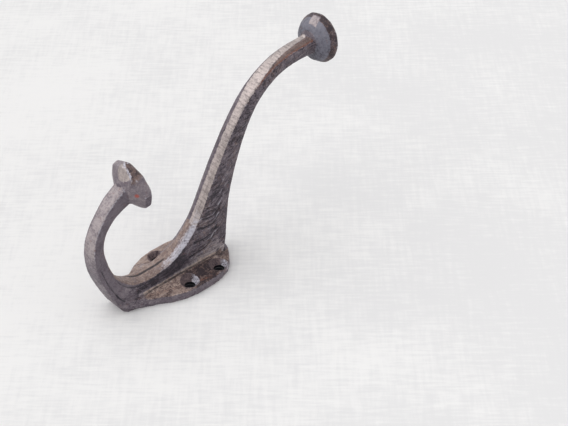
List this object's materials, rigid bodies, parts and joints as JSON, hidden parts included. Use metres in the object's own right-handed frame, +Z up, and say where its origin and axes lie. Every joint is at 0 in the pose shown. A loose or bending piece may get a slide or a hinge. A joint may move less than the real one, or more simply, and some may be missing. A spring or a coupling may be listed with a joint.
{
  "type": "coat hook",
  "caption": "Cast iron hat and coat hook: a wall plate with countersunk screw holes, a long upper arm with gouged flanks and a lower hook, both ending in faceted mushroom knobs.",
  "frame": {"origin": "centre of the four screw holes, on the plate's back face, which lies against the wall", "axes": "+Z up the wall, +Y into the wall, so the hook stands out along -Y; +X to the right for someone facing the wall"},
  "size_m": [0.04, 0.1135, 0.1574],
  "materials": {
    "iron": "bare sand-cast iron, waxed, with filed strips and brown oxide in the hollows"
  },
  "bodies": {
    "root": {"hook": "iron"}
  },
  "joints": []
}
